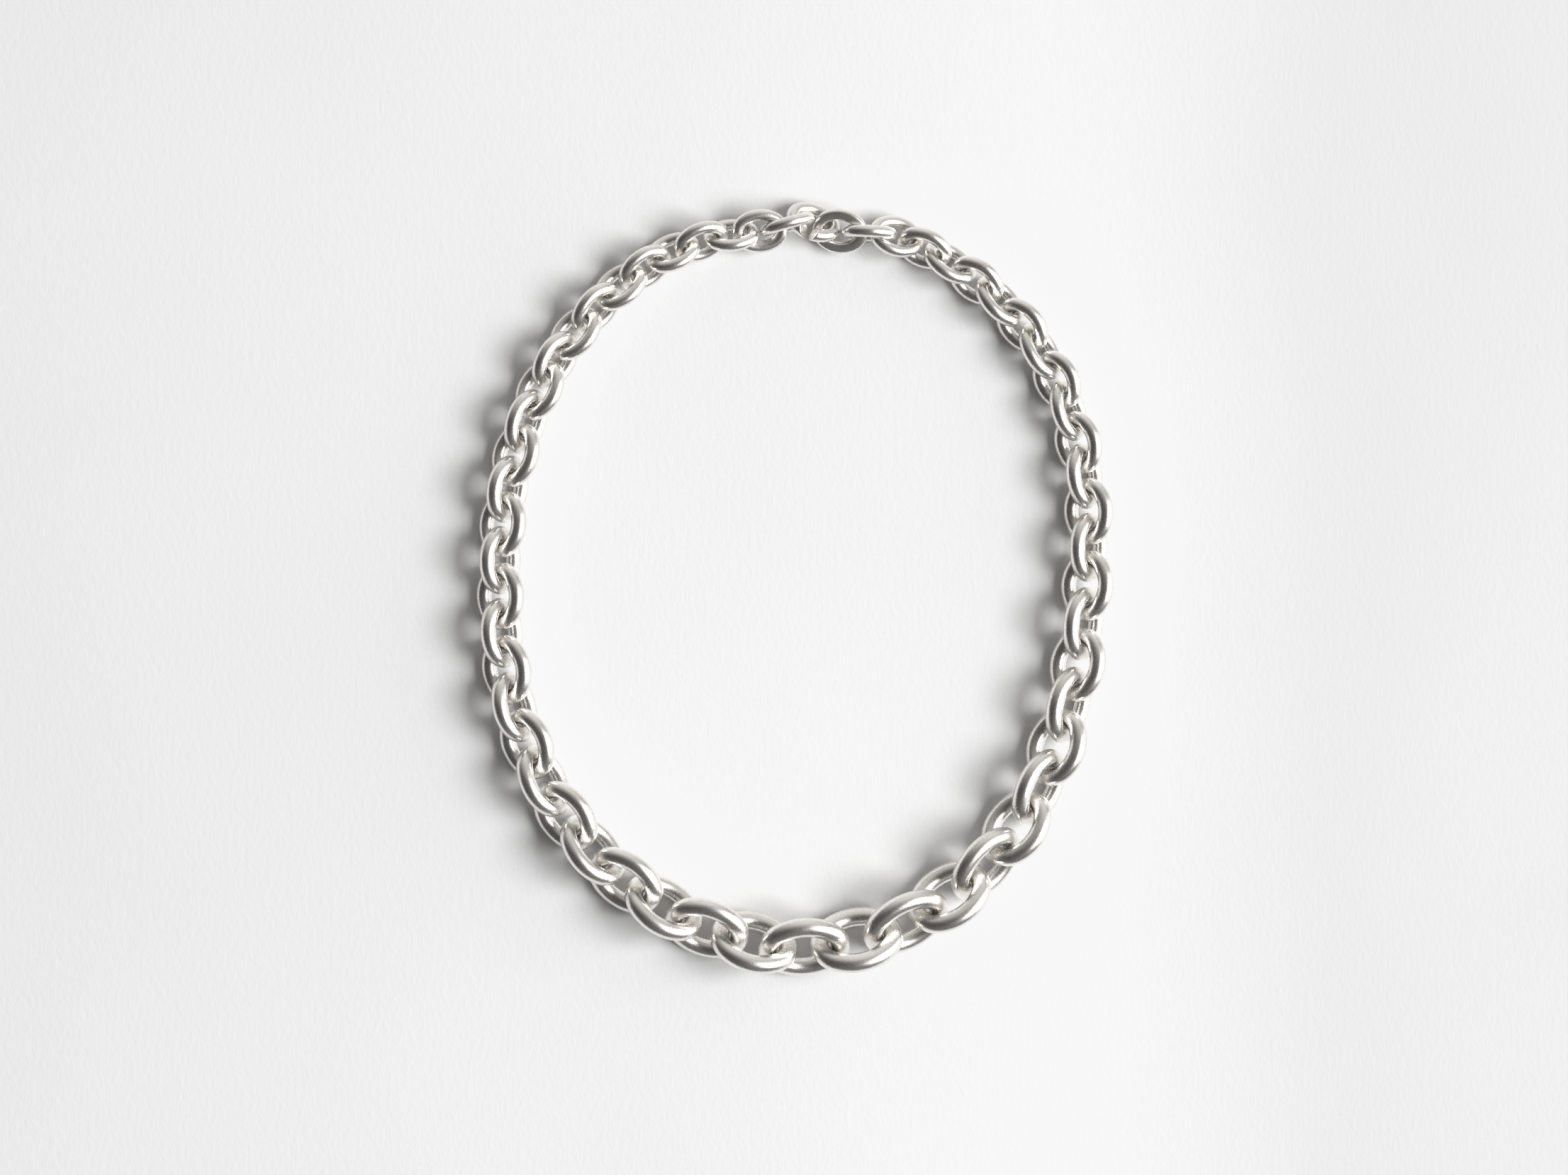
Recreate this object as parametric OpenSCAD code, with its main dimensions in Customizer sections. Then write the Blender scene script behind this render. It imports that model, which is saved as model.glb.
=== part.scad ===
/* [Links] */
// Outer length of the front link
front_len = 20.1; // [19.8:0.1:20.4]
// Outer width of the front link
front_width = 16.4; // [16.2:0.1:16.6]
// Wire thickness of the front link
front_wire = 4.2; // [4.10:0.01:4.22]
// Outer length of the smallest links, at the back of the neck
back_len = 12.3; // [12.2:0.1:12.5]
// Outer width of the smallest links
back_width = 9.8; // [9.7:0.1:10]
// Wire thickness of the smallest links
back_wire = 2.66; // [2.60:0.01:2.68]

/* [Lay of the chain] */
// How far each link leans from lying flat, to one side and to the other in turn
lean = 43; // [42:1:46]
// Slack of each link in the laid chain
slack = 0.37; // [0.35:0.01:0.40]
// Slack of each link round the clasp, which lie more loosely
back_slack = 0.68; // [0.67:0.01:0.70]

/* [Clasp link and tag link] */
// Gap between the two cut ends of the clasp link, halfway through its wire
cut_gap = 2.25; // [2.2:0.05:2.6]
// How far the left cut face leans away from the gap
left_lean = 40; // [30:1:42]
// How far the right cut face leans away from the gap
right_lean = 22; // [15:1:24]
// How far the left cut face is turned towards the link's hole
left_turn = 24; // [10:1:26]
// How far the cut lies from the middle of the link, towards the left side of the chain
cut_place = 0.85; // [0.4:0.05:1.2]
// Outer length of the flattened tag link
tag_len = 12.1; // [12:0.1:12.2]
// Outer width of the flattened tag link
tag_width = 9.9; // [9.8:0.1:10.2]
// Width of the tag link's hammered wire
tag_wire = 2.55; // [2.45:0.05:2.6]
// Thickness between the tag link's two hammered faces
tag_thick = 2.1; // [1.9:0.1:2.1]

/* [Fineness] */
// Flat sides round the wire of each chain link
wire_sides = 6; // [5:1:6]
// Straight stretches in each of the four arcs of a chain link
arc_steps = 4; // [4:1:5]
// Flat sides round the wire of the clasp link and the tag link
fine_sides = 14; // [10:2:16]
// Straight stretches in each of the four arcs of the clasp link and the tag link
fine_steps = 8; // [6:1:10]

/* [Hidden] */

// The links are numbered from the front link, up the left side, across the back and down the right side
left_count = 28;
right_count = 25;
clasp_number = left_count + 1;
tag_number = clasp_number + 1;
link_count = tag_number + right_count + 1;

// How the closed chain lies: turn from the front towards the left, distance from the middle
loop_rows = [
    [0, 77.5],
    [22.5, 75],
    [45, 71],
    [67.5, 67],
    [90, 65],
    [112.5, 67.5],
    [135, 72.5],
    [157.5, 77],
    [180, 78.5],
    [202.5, 78],
    [225, 74],
    [247.5, 67.5],
    [270, 63],
    [292.5, 64],
    [315, 69.5],
    [337.5, 75]
];

// Sizes up the left side: link counted from the front link, outer length
left_rows = [
    [1, 19.4],
    [3, 18.5],
    [6, 16.8],
    [9, 15.4],
    [12, 14.7],
    [16, 14.4],
    [20, 13.5],
    [24, 12.5],
    [26, back_len]
];

// Sizes up the right side: link counted from the front link, outer length
right_rows = [
    [1, 20.5],
    [3, 19.5],
    [6, 17.9],
    [9, 16.6],
    [12, 15.2],
    [16, 13.7],
    [20, 13.3],
    [24, back_len]
];

// Width against length: outer length, outer width
width_rows = [[back_len, back_width], [14.3, 11.6], [front_len, front_width]];

// Wire against length: outer length, wire thickness
wire_rows = [[back_len, back_wire], [14.3, 3.24], [front_len, front_wire]];

// Links at the back that lie out of the regular order: number, roll, pitch, height of the lowest point,
// shift along the chain, shift outwards, turn
lay_rows = [
    [25, 42, 4, 0.5, 0.2, -0.3, 2],
    [26, -49, 2, 0.2, 0.6, -0.8, -7],
    [27, 21, 3, 1.9, 0.7, -1.1, -5],
    [28, -94, 0, 0.1, 0.5, -0.3, 12],
    [29, -37, -4, 0.2, 0.1, 0.3, -15],
    [30, 23, 10, 1.1, -0.2, -1.2, -3],
    [31, 87, 1, 0, -0.1, -0.7, 9],
    [32, -26, -7, 1.2, -0.2, 0.3, 6],
    [33, 46, 4, 0.2, 0, 0.1, 0]
];

// How far the front link lies from the loop's front, towards the right side
front_shift = 0.4;
// How far the links that lean inwards lie from their place in the row, towards the back
inward_shift = 0.08;
// Half the angle that each end arc of a link spans
end_half = 55;
// Straight stretches that the loop is measured in
loop_steps = 720;

// Distance from the middle of the loop at any turn, on a smooth closed curve through the rows
function row_distance(i) = loop_rows[(i + len(loop_rows)) % len(loop_rows)][1];
function distance_at(turn) =
    let (
        place = turn / (loop_rows[1][0] - loop_rows[0][0]),
        i = floor(place),
        f = place - i,
        before = row_distance(i - 1),
        here = row_distance(i),
        next = row_distance(i + 1),
        after = row_distance(i + 2)
    )
    here + 0.5 * f * (next - before + f * (2 * before - 5 * here + 4 * next - after
        + f * (3 * (here - next) + after - before)));
function loop_point(turn) = -distance_at(turn) * [sin(turn), cos(turn)];

// Running length along the loop against the turn
loop_points = [for (i = [0:loop_steps]) loop_point(i * 360 / loop_steps)];
loop_lengths = [
    for (
        i = 0, run = 0;
        i <= loop_steps;
        run = run + norm(loop_points[min(i + 1, loop_steps)] - loop_points[i]), i = i + 1
    )
        [run, i * 360 / loop_steps]
];
loop_length = loop_lengths[loop_steps][0];

// Outer length, wire thickness and outer width of a link
function link_len(n) =
    n == 0 ? front_len
    : n == tag_number ? tag_len
    : n <= clasp_number ? lookup(n, left_rows)
    : lookup(link_count - n, right_rows);
function link_wire(n) = lookup(link_len(n), wire_rows);
function link_width(n) = lookup(link_len(n), width_rows);

// Distance between the points where a link's two neighbours pull on it, in the laid chain
function link_slack(n) = search(n, lay_rows) == [] ? slack : back_slack;
function reach(n) = link_len(n) - 2 * link_wire(n) - link_slack(n);
function total_reach(n = 0) = n == link_count ? 0 : reach(n) + total_reach(n + 1);

// The loop is drawn out or in until it is as long as the laid chain
chain_length = total_reach();
loop_scale = chain_length / loop_length;
function point_at(run) =
    loop_scale * loop_point(lookup((run + chain_length) % chain_length / loop_scale, loop_lengths));

// Where each link meets the one before it, measured along the loop
meeting_runs = [
    for (n = 0, run = -reach(0) / 2 - front_shift; n <= link_count; run = run + reach(n), n = n + 1)
        run
];
meetings = [for (run = meeting_runs) point_at(run)];

// How a link lies, in the columns of lay_rows
function regular_row(n) =
    n % 2 == 1 ? [n, lean, 0, 0, 0, 0, 0]
    : [n, -lean, 0, 0, n < clasp_number ? inward_shift : -inward_shift, 0, 0];
function link_row(n) =
    let (found = search(n, lay_rows))
    found == [] ? regular_row(n) : lay_rows[found[0]];

// Direction of the chain at a link, the link's own direction, and its middle
function chain_turn(n) =
    let (run = meetings[n + 1] - meetings[n])
    atan2(run.y, run.x);
function link_turn(n) = chain_turn(n) + link_row(n)[6];
function link_middle(n) =
    let (row = link_row(n), turn = chain_turn(n))
    (meetings[n] + meetings[n + 1]) / 2 + row[4] * [cos(turn), sin(turn)] + row[5] * [-sin(turn), cos(turn)];

// Stations on a link's middle line, which is four arcs that run smoothly into each other:
// place along, place across, direction that faces outwards
function oval_stations(length, width, wire, steps) =
    let (
        half_len = (length - wire) / 2,
        half_wid = (width - wire) / 2,
        lost = (1 - sin(end_half)) / cos(end_half),
        end_r = (half_wid - half_len * lost) / (sin(end_half) - (1 - cos(end_half)) * lost),
        side_r = end_r + (half_len - end_r) / cos(end_half),
        arcs = [
            [half_len - end_r, 0, end_r, -end_half, 2 * end_half],
            [0, half_wid - side_r, side_r, end_half, 180 - 2 * end_half],
            [end_r - half_len, 0, end_r, 180 - end_half, 2 * end_half],
            [0, side_r - half_wid, side_r, 180 + end_half, 180 - 2 * end_half]
        ]
    )
    [
        for (arc = arcs)
            for (k = [0:steps - 1])
                let (facing = arc[3] + arc[4] * k / steps)
                [arc[0] + arc[2] * cos(facing), arc[1] + arc[2] * sin(facing), facing]
    ];

// Surface points of a closed wire, with its upper and lower face hammered flat where thick is less than the wire
function wire_points(stations, wire, thick, sides) = [
    for (s = stations)
        for (j = [0:sides - 1])
            let (
                angle = 360 * j / sides,
                out = wire / 2 * cos(angle),
                up = max(-thick / 2, min(thick / 2, wire / 2 * sin(angle)))
            )
            [s[0] + out * cos(s[2]), s[1] + out * sin(s[2]), up]
];

// Two triangles between each pair of neighbouring stations and sides
function wire_faces(stations, sides) = [
    for (i = [0:stations - 1])
        for (j = [0:sides - 1])
            let (
                next = (i + 1) % stations,
                beside = (j + 1) % sides,
                a = i * sides + j,
                b = next * sides + j,
                c = next * sides + beside,
                d = i * sides + beside
            )
            for (face = [[a, d, c], [a, c, b]])
                face
];

// Surface points of any link, lying flat about its own middle
function link_points(n) =
    n == tag_number
        ? wire_points(oval_stations(tag_len, tag_width, tag_wire, fine_steps), tag_wire, tag_thick, fine_sides)
        : let (
            fine = n == clasp_number,
            stations = oval_stations(link_len(n), link_width(n), link_wire(n), fine ? fine_steps : arc_steps)
        )
        wire_points(stations, link_wire(n), link_wire(n), fine ? fine_sides : wire_sides);

// Height of the lowest surface point below the link's middle, once it is rolled and pitched
function link_depth(n) =
    let (roll = link_row(n)[1], pitch = link_row(n)[2])
    -min([
        for (p = link_points(n))
            p.x * sin(pitch) + (p.y * sin(roll) + p.z * cos(roll)) * cos(pitch)
    ]);

// Where a link's surface points lie, seen from above
function placed_xy(n) =
    let (row = link_row(n), turn = link_turn(n), middle = link_middle(n))
    [
        for (p = link_points(n))
            let (
                across = p.y * cos(row[1]) - p.z * sin(row[1]),
                up = p.y * sin(row[1]) + p.z * cos(row[1]),
                along = p.x * cos(row[2]) - up * sin(row[2])
            )
            middle + along * [cos(turn), sin(turn)] + across * [-sin(turn), cos(turn)]
    ];

// The loop's middle is put over the origin
outline = [for (n = [0:link_count - 1]) each placed_xy(n)];
xs = [for (p = outline) p.x];
ys = [for (p = outline) p.y];
loop_middle = [min(xs) + max(xs), min(ys) + max(ys)] / 2;

// Puts what follows where the link lies, with the link's own middle at its origin
module at_link(n) {
    row = link_row(n);
    middle = link_middle(n) - loop_middle;
    translate([middle.x, middle.y, link_depth(n) + row[3]])
        rotate([0, 0, link_turn(n)])
            rotate([0, -row[2], 0])
                rotate([row[1], 0, 0])
                    children();
}

// One closed link, where it lies in the chain
module link(n) {
    points = link_points(n);
    sides = n == clasp_number || n == tag_number ? fine_sides : wire_sides;
    at_link(n)
        polyhedron(points, wire_faces(len(points) / sides, sides), convexity = 4);
}

// The links up the left side, from beside the front link to the clasp link
module chain_left() {
    color("silver")
        for (n = [1:left_count])
            link(n);
}

// The front link, and the links up the right side to the tag link
module chain_right() {
    color("silver") {
        link(0);
        for (n = [tag_number + 1:link_count - 1])
            link(n);
    }
}

// All that lies on the gap's side of one of the clasp link's cut faces; side is -1 for the left face
module beyond_cut(side, lean, turn, wire, width) {
    size = 3 * wire;
    translate([side * cut_gap / 2 - cut_place, (wire - width) / 2, 0])
        rotate([0, 0, -turn])
            rotate([0, side * lean, 0])
                translate([-side * size / 2, 0, 0])
                    cube([size, size, 2 * size], center = true);
}

// The link that opens: one side is cut through, and the two cut faces part towards the link's upper face
module clasp_link() {
    wire = link_wire(clasp_number);
    width = link_width(clasp_number);
    color("gainsboro")
        difference() {
            link(clasp_number);
            at_link(clasp_number)
                intersection() {
                    beyond_cut(-1, left_lean, left_turn, wire, width);
                    beyond_cut(1, right_lean, 0, wire, width);
                }
        }
}

// The link beside it, with both faces hammered flat and left bare
module tag_link() {
    color("gainsboro")
        link(tag_number);
}

chain_left();
chain_right();
clasp_link();
tag_link();
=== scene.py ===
"""The link chain necklace, lying on pale paper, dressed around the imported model."""

import math

import bpy
import numpy as np
from mathutils import Matrix, Vector


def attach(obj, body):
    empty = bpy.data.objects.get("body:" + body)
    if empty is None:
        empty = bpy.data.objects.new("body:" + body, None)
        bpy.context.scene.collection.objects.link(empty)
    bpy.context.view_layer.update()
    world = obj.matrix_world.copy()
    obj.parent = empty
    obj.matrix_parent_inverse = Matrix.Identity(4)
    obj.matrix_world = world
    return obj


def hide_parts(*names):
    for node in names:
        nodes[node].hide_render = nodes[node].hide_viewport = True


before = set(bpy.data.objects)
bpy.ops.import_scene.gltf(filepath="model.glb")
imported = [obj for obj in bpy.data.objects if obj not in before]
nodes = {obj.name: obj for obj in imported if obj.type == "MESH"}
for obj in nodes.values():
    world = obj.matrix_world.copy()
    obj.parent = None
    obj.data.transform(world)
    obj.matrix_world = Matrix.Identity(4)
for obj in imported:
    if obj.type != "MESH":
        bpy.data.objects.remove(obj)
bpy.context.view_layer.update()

MM = 0.001

# Thickness of a packed link, lying flat, as a share of its wire, which has 6 sides in the chains
# and 14 in the open link
CHAIN_SHARE = math.sin(math.radians(360 / 6))
OPEN_SHARE = math.sin(math.radians(3 * 360 / 14))

# Half the angle that each end arc of a link spans, as in the part
END_HALF = math.radians(55)

# Fineness of the dressed links: rings along each of the four arcs, and sides round the wire
CHAIN_FINENESS = (18, 28)
OPEN_FINENESS = (26, 48)
FLAT_FINENESS = (24, 48)

# The flat link's wire from side to side, as in the part, and the sharpness of its hammered edges
FLAT_WIRE = 2.55 * MM
FLAT_EDGE = 5

# The open link's cut, as in the part: gap, place, leans of the two faces, and turn of the left one
CUT_GAP = 2.25 * MM
CUT_PLACE = 0.85 * MM
LEFT_LEAN = math.radians(40)
RIGHT_LEAN = math.radians(22)
LEFT_TURN = math.radians(24)
# The left and the right cut face: place on the wire's middle line, and how far the face moves along
# the link towards the link's hole and towards its upper face
CUT_FACES = (
    (-CUT_GAP / 2 - CUT_PLACE, math.tan(LEFT_TURN), -math.tan(LEFT_LEAN) / math.cos(LEFT_TURN)),
    (CUT_GAP / 2 - CUT_PLACE, 0.0, math.tan(RIGHT_LEAN)),
)
# Width of the broken edges round them, and the stretch of the link in which they are looked for
CUT_RIM = 0.07 * MM
CUT_FROM = 0.76
CUT_TO = 0.99
HALVINGS = 40


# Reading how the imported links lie


def merged(node):
    """Corner places of a node's mesh, each once, and its triangles."""
    mesh = nodes[node].data
    mesh.calc_loop_triangles()
    places = np.array([v.co for v in mesh.vertices])
    keys, index = np.unique(np.round(places, 7), axis=0, return_inverse=True)
    return keys, index.reshape(-1)[np.array([t.vertices for t in mesh.loop_triangles])]


def links_of(node):
    """The corner places of each separate link in a node."""
    places, tris = merged(node)
    label = np.arange(len(places))
    while True:
        new = label.copy()
        low = label[tris].min(axis=1)
        for k in range(3):
            np.minimum.at(new, tris[:, k], low)
        new = new[new]
        if (new == label).all():
            return [places[label == value] for value in np.unique(label)]
        label = new


def lie_of(places):
    """Middle, axes (long, across, up) and outer sizes along them of a link, from its corner places."""
    apart = ((places[:, None] - places[None]) ** 2).sum(-1)
    a, b = np.unravel_index(apart.argmax(), apart.shape)
    middle = (places[a] + places[b]) / 2
    long = places[b] - places[a]
    long = long / np.linalg.norm(long) * (1 if long[0] > 0 else -1)
    up = np.linalg.svd(places - places.mean(0), full_matrices=False)[2][2]
    up = up - long * (up @ long)
    up = up / np.linalg.norm(up) * (1 if up[2] > 0 else -1)
    axes = np.array([long, np.cross(up, long), up])
    local = (places - middle) @ axes.T
    sizes = np.array([np.ptp(local[:, 0]), 2 * local[:, 1].max(), np.ptp(local[:, 2])])
    return middle, axes, sizes


# Making links


def oval(length, width, wire):
    """A function from t, 0 to 1 round the link, to its middle line and the outward way there."""
    half_len = (length - wire) / 2
    half_wid = (width - wire) / 2
    lost = (1 - math.sin(END_HALF)) / math.cos(END_HALF)
    end_r = (half_wid - half_len * lost) / (math.sin(END_HALF) - (1 - math.cos(END_HALF)) * lost)
    side_r = end_r + (half_len - end_r) / math.cos(END_HALF)
    side_span = math.pi - 2 * END_HALF
    arcs = [
        (half_len - end_r, 0, end_r, -END_HALF, 2 * END_HALF),
        (0, half_wid - side_r, side_r, END_HALF, side_span),
        (end_r - half_len, 0, end_r, math.pi - END_HALF, 2 * END_HALF),
        (0, side_r - half_wid, side_r, math.pi + END_HALF, side_span),
    ]

    def at(t):
        x, y, radius, start, span = arcs[math.floor(t * 4) % 4]
        facing = start + span * (t * 4 % 1)
        way = np.array([math.cos(facing), math.sin(facing)])
        return np.array([x, y]) + radius * way, way

    return at


def surface_point(at, t, angle, wire, thick=None):
    """Point on the wire's surface, in the link's own axes. With thick, two faces are hammered flat."""
    place, way = at(t)
    out = wire / 2 * math.cos(angle)
    up = wire / 2 * math.sin(angle)
    if thick:
        # A soft-edged limit: the flat face runs into the round side over a small radius
        level = (1 + (wire / thick) ** FLAT_EDGE) ** (1 / FLAT_EDGE)
        up *= thick / wire * level / (1 + abs(up * 2 / thick) ** FLAT_EDGE) ** (1 / FLAT_EDGE)
    return [*(place + way * out), up]


def closed_link(length, width, wire, fineness, thick=None):
    """Points and four-sided faces of a closed link about its own middle."""
    at = oval(length, width, wire)
    rings, sides = fineness
    count = 4 * rings
    points = [
        surface_point(at, i / count, math.tau * j / sides, wire, thick)
        for i in range(count)
        for j in range(sides)
    ]
    faces = [
        (
            i * sides + j,
            (i + 1) % count * sides + j,
            (i + 1) % count * sides + (j + 1) % sides,
            i * sides + (j + 1) % sides,
        )
        for i in range(count)
        for j in range(sides)
    ]
    return np.array(points), faces


def cut_link(length, width, wire, cuts, rim, fineness):
    """Points and faces of the link that opens: its wire is cut through at y < 0.

    cuts holds the left and the right cut face. rim is the width of the broken edges round them.
    """
    at = oval(length, width, wire)
    rings, sides = fineness

    def meet(angle, cut):
        """How far round the link a line along the wire's surface meets a cut face: by halving."""
        start, inward, upward = cut
        low, high = CUT_FROM, CUT_TO
        for _ in range(HALVINGS):
            mid = (low + high) / 2
            x, y, up = surface_point(at, mid, angle, wire)
            if x > start + inward * (y + (width - wire) / 2) + upward * up:
                high = mid
            else:
                low = mid
        return low

    angles = [math.tau * j / sides for j in range(sides)]
    ends = [meet(a, cuts[0]) for a in angles]
    starts = [meet(a, cuts[1]) - 1 for a in angles]
    count = 4 * rings
    back = rim / (math.pi * (length + width) / 2)
    points = []
    # The rings stand square to the wire, and lean into the cut faces near each end
    first, last = max(starts), min(ends)
    for i in range(count):
        share = i / (count - 1)
        mix = min(1, 4 * min(share, 1 - share)) ** 2
        square = first + (last - first) * share
        for start, end, angle in zip(starts, ends, angles):
            even = start + back + (end - start - 2 * back) * share
            points.append(surface_point(at, even * (1 - mix) + square * mix, angle, wire))
    for edge in (starts, ends):
        outline = np.array([surface_point(at, t, angle, wire) for t, angle in zip(edge, angles)])
        inward = outline.mean(0) - outline
        points += (outline + inward * rim / np.linalg.norm(inward, axis=1)[:, None]).tolist()

    def band(one, other):
        """Faces between two rings."""
        return [
            (
                one * sides + j,
                other * sides + j,
                other * sides + (j + 1) % sides,
                one * sides + (j + 1) % sides,
            )
            for j in range(sides)
        ]

    faces = [face for i in range(count - 1) for face in band(i, i + 1)]
    faces += band(count, 0) + band(count - 1, count + 1)
    faces.append(tuple(count * sides + j for j in range(sides)))
    faces.append(tuple((count + 1) * sides + j for j in reversed(range(sides))))
    return np.array(points), faces


def piece(name, parts, material, node):
    """One object from (points, faces, middle, axes) parts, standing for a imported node."""
    points, faces = [], []
    for local, quads, middle, axes in parts:
        start = sum(len(p) for p in points)
        points.append(middle + local @ axes)
        faces += [tuple(start + k for k in quad) for quad in quads]
    mesh = bpy.data.meshes.new(name)
    mesh.from_pydata(np.concatenate(points).tolist(), [], faces)
    # Round surfaces are shaded smoothly; a face with many corners is a cut and stays flat
    mesh.polygons.foreach_set("use_smooth", [len(face) == 4 for face in faces])
    mesh.materials.append(material)
    made = bpy.data.objects.new(name, mesh)
    bpy.context.scene.collection.objects.link(made)
    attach(made, "root")
    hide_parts(node)
    return made


# Materials

# Silver: the colours and roughness between which it varies, and the heights of its waves and its grain
SILVER_DARK = (0.865, 0.838, 0.802, 1)
SILVER_LIGHT = (0.93, 0.907, 0.873, 1)
SILVER_ROUGHNESS = (0.25, 0.34)
WAVE_HEIGHT = 0.02 * MM
GRAIN_HEIGHT = 0.0135 * MM

# Paper: colours, height of its fibres, and where and how deep the painted shade towards the right is
PAPER_DARK = (0.857, 0.861, 0.867, 1)
PAPER_LIGHT = (0.887, 0.891, 0.897, 1)
PAPER_PAINTED_SHADE = (0.87, 0.87, 0.87, 1)
FIBRE_HEIGHT = 0.055 * MM
PAINTED_SHADE_BORDER = (85 * MM, 165 * MM)
PAINTED_SHADE_WANDER = 60 * MM

# Sockets of a colour mix node, whose names repeat
MIX_FACTOR, MIX_A, MIX_B, MIX_RESULT = 0, 6, 7, 2


def graph(owner):
    """Clears a node tree and returns functions that add a node and join two sockets."""
    owner.use_nodes = True
    tree = owner.node_tree
    tree.nodes.clear()

    def add(kind, **values):
        made = tree.nodes.new(kind)
        for key, value in values.items():
            if key in made.inputs:
                made.inputs[key].default_value = value
            else:
                setattr(made, key, value)
        return made

    return add, tree.links.new


def ranged(add, source, target, **values):
    """A node that maps one range of values onto another."""
    made = add("ShaderNodeMapRange", **values)
    for key, value in zip(("From Min", "From Max", "To Min", "To Max"), (*source, *target)):
        made.inputs[key].default_value = value
    return made


def ramp(add, *stops):
    """A colour ramp through two stops, each a position and a colour."""
    made = add("ShaderNodeValToRGB")
    for element, (position, colour) in zip(made.color_ramp.elements, stops):
        element.position, element.color = position, colour
    return made


def satin_silver(name, grain=1.0):
    """Tumbled silver: a satin sheen, broken up by a fine grain and a slight unevenness of the wire."""
    material = bpy.data.materials.new(name)
    add, join = graph(material)
    place = add("ShaderNodeTexCoord")
    shader = add("ShaderNodeBsdfPrincipled", Metallic=1.0)
    out = add("ShaderNodeOutputMaterial")
    join(shader.outputs["BSDF"], out.inputs["Surface"])

    fine = add("ShaderNodeTexNoise", Scale=4600.0, Detail=1.5, Roughness=0.5)
    wavy = add("ShaderNodeTexNoise", Scale=420.0, Detail=2.0, Roughness=0.5)
    cloudy = add("ShaderNodeTexNoise", Scale=160.0, Detail=4.0, Roughness=0.6)
    for noise in (fine, wavy, cloudy):
        join(place.outputs["Object"], noise.inputs["Vector"])

    soft = add("ShaderNodeBump", Strength=1.0, Distance=WAVE_HEIGHT)
    join(wavy.outputs["Fac"], soft.inputs["Height"])
    rough = add("ShaderNodeBump", Strength=1.0, Distance=GRAIN_HEIGHT * grain)
    join(fine.outputs["Fac"], rough.inputs["Height"])
    join(soft.outputs["Normal"], rough.inputs["Normal"])
    join(rough.outputs["Normal"], shader.inputs["Normal"])

    sheen = ranged(add, (0.3, 0.7), SILVER_ROUGHNESS)
    join(fine.outputs["Fac"], sheen.inputs["Value"])
    join(sheen.outputs["Result"], shader.inputs["Roughness"])

    tint = ramp(add, (0.35, SILVER_DARK), (0.65, SILVER_LIGHT))
    join(cloudy.outputs["Fac"], tint.inputs["Fac"])
    join(tint.outputs["Color"], shader.inputs["Base Color"])
    return material


def paper():
    """Matt white drawing paper with faint fibres that run up the picture, and painted shade at the
    right.
    """
    material = bpy.data.materials.new("pale_paper")
    add, join = graph(material)
    place = add("ShaderNodeTexCoord")
    shader = add("ShaderNodeBsdfPrincipled", Roughness=0.9, **{"Specular IOR Level": 0.2})
    out = add("ShaderNodeOutputMaterial")
    join(shader.outputs["BSDF"], out.inputs["Surface"])
    lie = add("ShaderNodeMapping", Scale=(1.0, 0.5, 1.0))
    join(place.outputs["Object"], lie.inputs["Vector"])
    fibre = add("ShaderNodeTexNoise", Scale=900.0, Detail=4.0, Roughness=0.6)
    join(lie.outputs["Vector"], fibre.inputs["Vector"])
    relief = add("ShaderNodeBump", Strength=1.0, Distance=FIBRE_HEIGHT)
    join(fibre.outputs["Fac"], relief.inputs["Height"])
    join(relief.outputs["Normal"], shader.inputs["Normal"])
    cloud = add("ShaderNodeTexNoise", Scale=9.0, Detail=3.0, Roughness=0.5)
    join(place.outputs["Object"], cloud.inputs["Vector"])
    tone = ramp(add, (0.3, PAPER_DARK), (0.7, PAPER_LIGHT))
    join(cloud.outputs["Fac"], tone.inputs["Fac"])

    # Painted shade for the light falling off past the necklace's right, behind a soft wandering border
    apart = add("ShaderNodeSeparateXYZ")
    join(place.outputs["Object"], apart.inputs["Vector"])
    wander = add("ShaderNodeMath", operation="MULTIPLY_ADD")
    wander.inputs[1].default_value = PAINTED_SHADE_WANDER
    join(cloud.outputs["Fac"], wander.inputs[0])
    join(apart.outputs["X"], wander.inputs[2])
    shade_border = ranged(add, PAINTED_SHADE_BORDER, (0.0, 1.0), interpolation_type="SMOOTHSTEP")
    join(wander.outputs["Value"], shade_border.inputs["Value"])
    painted_shade = add("ShaderNodeMix", data_type="RGBA", blend_type="MULTIPLY")
    painted_shade.inputs[MIX_B].default_value = PAPER_PAINTED_SHADE
    join(shade_border.outputs["Result"], painted_shade.inputs[MIX_FACTOR])
    join(tone.outputs["Color"], painted_shade.inputs[MIX_A])
    join(painted_shade.outputs[MIX_RESULT], shader.inputs["Base Color"])
    return material


# The necklace

silver = satin_silver("satin_silver")
bare_silver = satin_silver("hammered_silver", grain=1.2)

for piece_name, node_name in (("left_links", "chain_left"), ("right_links", "chain_right")):
    parts = []
    for places in links_of(node_name):
        middle, axes, (length, width, flats) = lie_of(places)
        points, faces = closed_link(length, width, flats / CHAIN_SHARE, CHAIN_FINENESS)
        parts.append((points, faces, middle, axes))
    piece(piece_name, parts, silver, node_name)

middle, axes, (length, width, flats) = lie_of(merged("clasp_link")[0])
points, faces = cut_link(length, width, flats / OPEN_SHARE, CUT_FACES, CUT_RIM, OPEN_FINENESS)
piece("open_link", [(points, faces, middle, axes)], silver, "clasp_link")

middle, axes, (length, width, thick) = lie_of(merged("tag_link")[0])
points, faces = closed_link(length, width, FLAT_WIRE, FLAT_FINENESS, thick)
piece("flat_link", [(points, faces, middle, axes)], bare_silver, "tag_link")


# Floor, light and camera

# The floor lies as far below the solids as the round wires reach below the faceted ones
FLOOR_SIZE = 8.0
FLOOR_HEIGHT = -0.05 * MM
# Even brightness of the room, and the pale grey that the camera sees past the floor
ROOM_EVEN = 0.058
ROOM_COLOUR = (1.0, 0.975, 0.945, 1)
BACKDROP = (0.82, 0.82, 0.82, 1)


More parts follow.
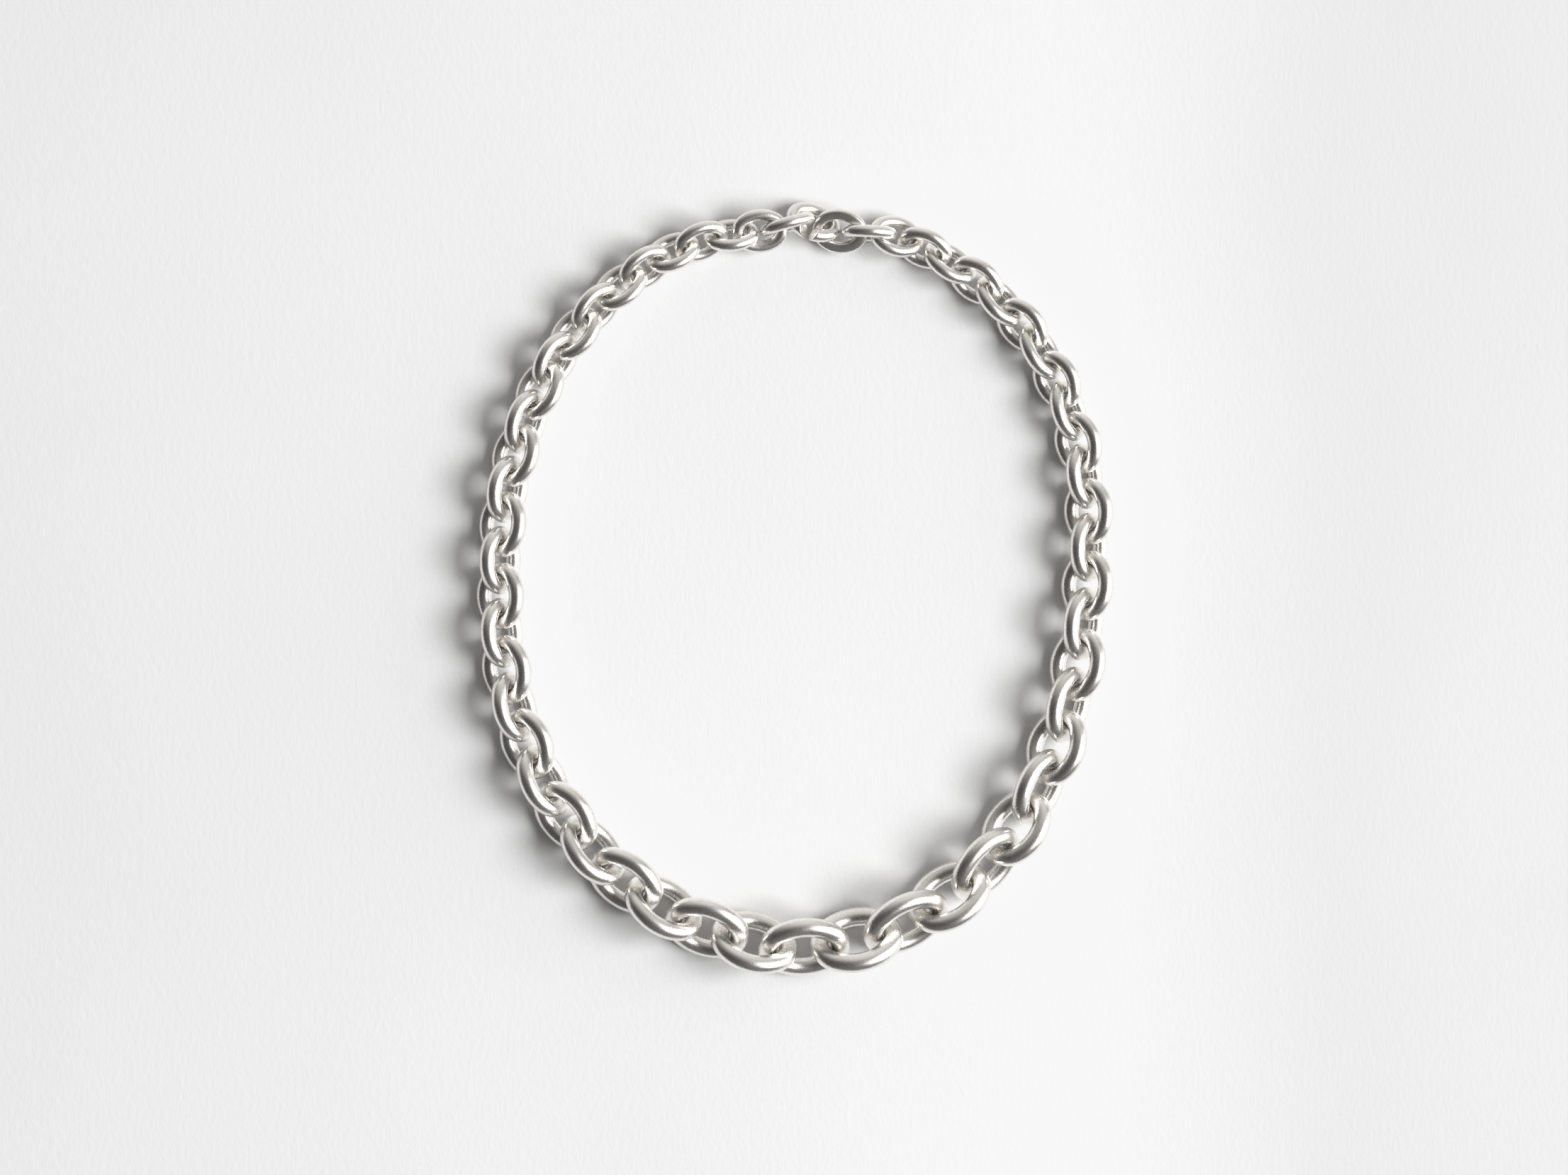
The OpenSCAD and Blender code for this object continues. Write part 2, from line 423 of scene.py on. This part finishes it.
def plane(name, size, height, material):
    """A level square sheet round the middle of the picture."""
    mesh = bpy.data.meshes.new(name)
    half = size / 2
    corners = [(x * half, y * half, height) for x, y in ((-1, -1), (1, -1), (1, 1), (-1, 1))]
    mesh.from_pydata(corners, [], [(0, 1, 2, 3)])
    mesh.materials.append(material)
    made = bpy.data.objects.new(name, mesh)
    bpy.context.scene.collection.objects.link(made)
    return made


floor = plane("paper_floor", FLOOR_SIZE, FLOOR_HEIGHT, paper())


def softbox(name, azimuth, elevation, distance, size, watts):
    """A soft light that faces the necklace. Azimuth runs from the picture's right to its top."""
    a, e = math.radians(azimuth), math.radians(elevation)
    way = Vector((math.cos(a) * math.cos(e), math.sin(a) * math.cos(e), math.sin(e)))
    lamp = bpy.data.lights.new(name, "AREA")
    lamp.shape = "RECTANGLE"
    lamp.size, lamp.size_y = size
    lamp.energy = watts
    made = bpy.data.objects.new(name, lamp)
    made.rotation_mode = "QUATERNION"
    made.location = way * distance
    made.rotation_quaternion = way.to_track_quat("Z", "Y")
    made.visible_camera = False
    bpy.context.scene.collection.objects.link(made)


softbox("window_light", azimuth=-8, elevation=47.5, distance=2.7, size=(1.86, 1.6), watts=87)
softbox("low_light", azimuth=-3, elevation=16, distance=3.2, size=(3.0, 1.2), watts=22)

world = bpy.data.worlds.new("studio")
bpy.context.scene.world = world
add, join = graph(world)
way = add("ShaderNodeTexCoord")


def glow(direction, width, strength):
    """Brightness of the room that fades away from a direction; a larger width number fades sooner."""
    facing = add("ShaderNodeVectorMath", operation="DOT_PRODUCT")
    facing.inputs[1].default_value = Vector(direction).normalized()
    join(way.outputs["Generated"], facing.inputs[0])
    ahead = add("ShaderNodeMath", operation="MAXIMUM")
    ahead.inputs[1].default_value = 0.0
    join(facing.outputs["Value"], ahead.inputs[0])
    fade = add("ShaderNodeMath", operation="POWER")
    fade.inputs[1].default_value = width
    join(ahead.outputs["Value"], fade.inputs[0])
    made = add("ShaderNodeMath", operation="MULTIPLY")
    made.inputs[1].default_value = strength
    join(fade.outputs["Value"], made.inputs[0])
    return made.outputs["Value"]


# A light wall past the top of the picture, and a fainter one past its foot
lit = add("ShaderNodeMath", operation="ADD")
lit.inputs[1].default_value = ROOM_EVEN
join(glow((0.10, 0.9, 0.25), width=2.5, strength=0.75), lit.inputs[0])
total = add("ShaderNodeMath", operation="ADD")
join(glow((0.2, -0.8, 0.5), width=4.0, strength=0.10), total.inputs[0])
join(lit.outputs["Value"], total.inputs[1])
room = add("ShaderNodeBackground", Color=ROOM_COLOUR)
join(total.outputs["Value"], room.inputs["Strength"])
pale = add("ShaderNodeBackground", Color=BACKDROP)
seen = add("ShaderNodeLightPath")
either = add("ShaderNodeMixShader")
join(seen.outputs["Is Camera Ray"], either.inputs["Fac"])
join(room.outputs["Background"], either.inputs[1])
join(pale.outputs["Background"], either.inputs[2])
out = add("ShaderNodeOutputWorld")
join(either.outputs["Shader"], out.inputs["Surface"])

# The camera stands 950 mm off, 9.5 degrees to the picture's left of the vertical. One photo pixel
# covers MM_PER_PIXEL at the point that it looks at
CAMERA_FAR = 950 * MM
CAMERA_LEAN = math.radians(9.5)
LOOK_AT = Vector((-2.323, 0.291, 0)) * MM
PHOTO_WIDTH = 2212
MM_PER_PIXEL = 0.1533

toward = Vector((-math.sin(CAMERA_LEAN), 0, math.cos(CAMERA_LEAN)))
right = Vector((0, 1, 0)).cross(toward).normalized()
upward = toward.cross(right)
eye = LOOK_AT + toward * CAMERA_FAR
lens = bpy.data.cameras.new("photo_camera")
lens.sensor_fit = "HORIZONTAL"
lens.sensor_width = 36
lens.lens = lens.sensor_width * (CAMERA_FAR / MM / MM_PER_PIXEL) / PHOTO_WIDTH
lens.clip_start = 0.05
lens.clip_end = 50
camera = bpy.data.objects.new("photo_camera", lens)
camera.matrix_world = Matrix.Translation(eye) @ Matrix((right, upward, toward)).transposed().to_4x4()
bpy.context.scene.collection.objects.link(camera)
bpy.context.scene.camera = camera

view = bpy.context.scene.view_settings
view.view_transform = "Standard"
view.look = "None"

# Highlights run softly into white, as in the photograph. The curve is straight up to the paper's
# white, and then bends over. Its places are shares of the white level
WHITE_LEVEL = 4
SHOULDER = ((0.2325, 0.93), (0.32, 0.972), (0.5, 0.988))
view.use_curve_mapping = True
tones = view.curve_mapping
tones.white_level = (WHITE_LEVEL,) * 3
all_channels = tones.curves[3]
for share, level in SHOULDER:
    all_channels.points.new(share, level)
for point in list(all_channels.points)[:2]:
    point.handle_type = "VECTOR"
tones.update()
